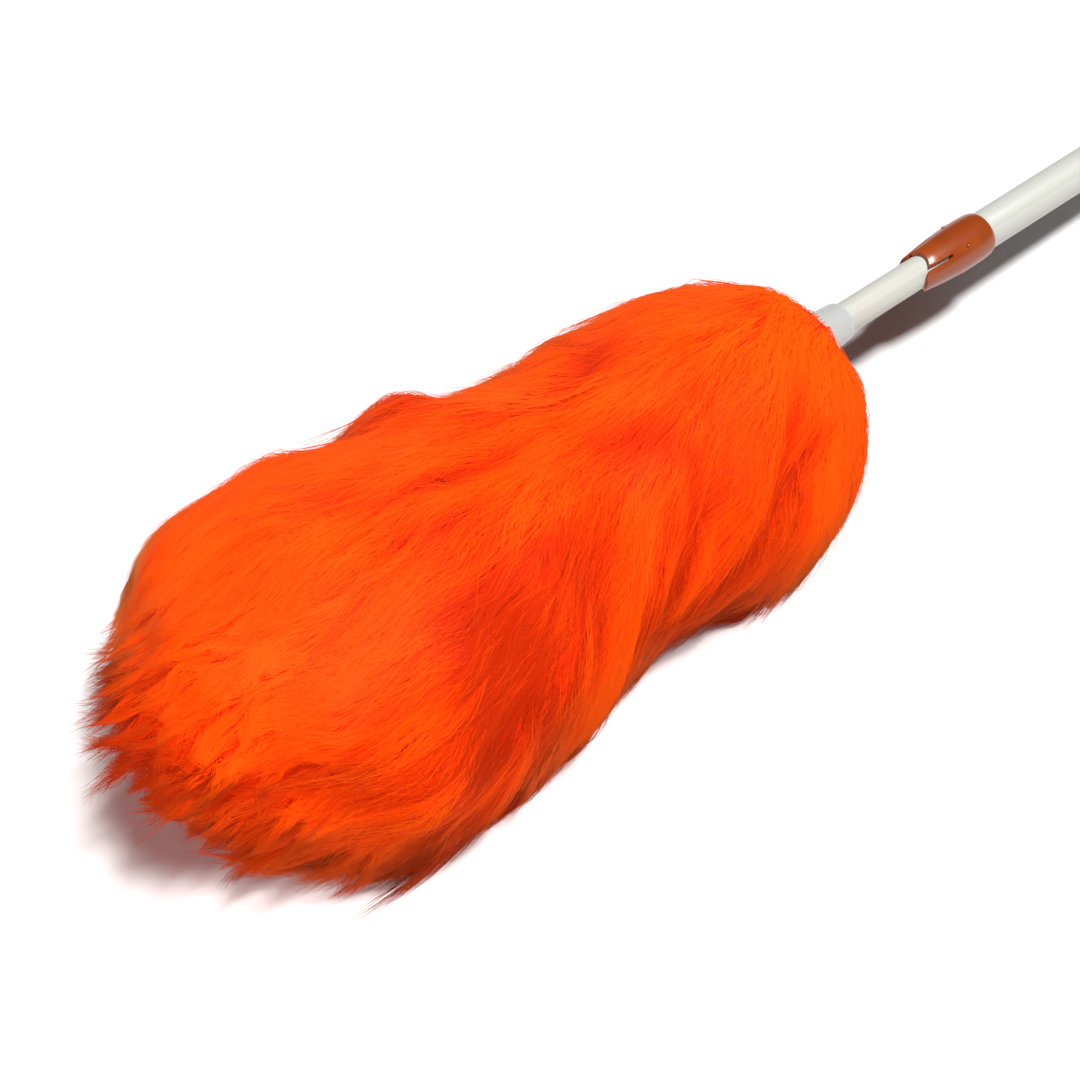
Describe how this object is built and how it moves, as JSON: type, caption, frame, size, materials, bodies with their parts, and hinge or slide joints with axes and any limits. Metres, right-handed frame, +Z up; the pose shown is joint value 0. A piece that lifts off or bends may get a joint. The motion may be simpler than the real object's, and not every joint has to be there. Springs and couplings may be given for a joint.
{
  "type": "telescopic lambswool duster",
  "caption": "Long fluffy wool duster head on a telescopic pole with a split guide collar, a twist lock inside, a hand grip and a hanging tab.",
  "frame": {"origin": "middle of the footprint, on the floor that the duster lies on", "axes": "+Z up from the floor, +X along the pole's footprint from the wool tip to the hand grip; the pole leans 4.1 degrees down to the grip"},
  "size_m": [0.9372, 0.1816, 0.1421],
  "materials": {
    "tube_plastic": "glossy ivory",
    "collar_plastic": "satin terracotta brown",
    "grip_plastic": "satin terracotta brown",
    "socket_plastic": "milky, slightly see-through",
    "lock_plastic": "dark grey",
    "wool": "long silky dyed wool",
    "hide": "pale tanned skin",
    "dowel": "bare wood",
    "steel": "zinc plated"
  },
  "bodies": {
    "outer_pole": {"outer_tube": "tube_plastic", "guide_collar": "collar_plastic", "collar_pin_1": "collar_plastic", "collar_pin_2": "collar_plastic", "collar_pin_3": "collar_plastic", "collar_pin_4": "collar_plastic", "hand_grip": "grip_plastic", "end_cap": "grip_plastic", "end_cap_pin": "steel"},
    "lock_slider": {"lock_ring": "lock_plastic"},
    "inner_pole": {"inner_tube": "tube_plastic", "lock_plug": "lock_plastic", "lock_plug_pin": "steel", "lock_washer": "steel", "lock_screw": "steel", "head_socket": "socket_plastic", "socket_tube_pin": "steel", "socket_core_pin": "steel", "core_rod": "dowel", "hide_strip": "hide", "strip_tack_1": "steel", "strip_tack_2": "steel", "tip_patch": "hide", "tip_tack": "steel", "wool_fleece": "wool"}
  },
  "joints": [
    {"name": "pole_extend", "type": "slide", "parent": "outer_pole", "child": "lock_slider", "axis": [-0.9974, 0, 0.0715], "range_m": [-0.04, 0.31]},
    {"name": "lock_twist", "type": "hinge", "parent": "lock_slider", "child": "inner_pole", "pos_m": [0.31574, 0, 0.02329], "axis": [0.9974, 0, -0.0715], "range_deg": [-75, 75]}
  ]
}
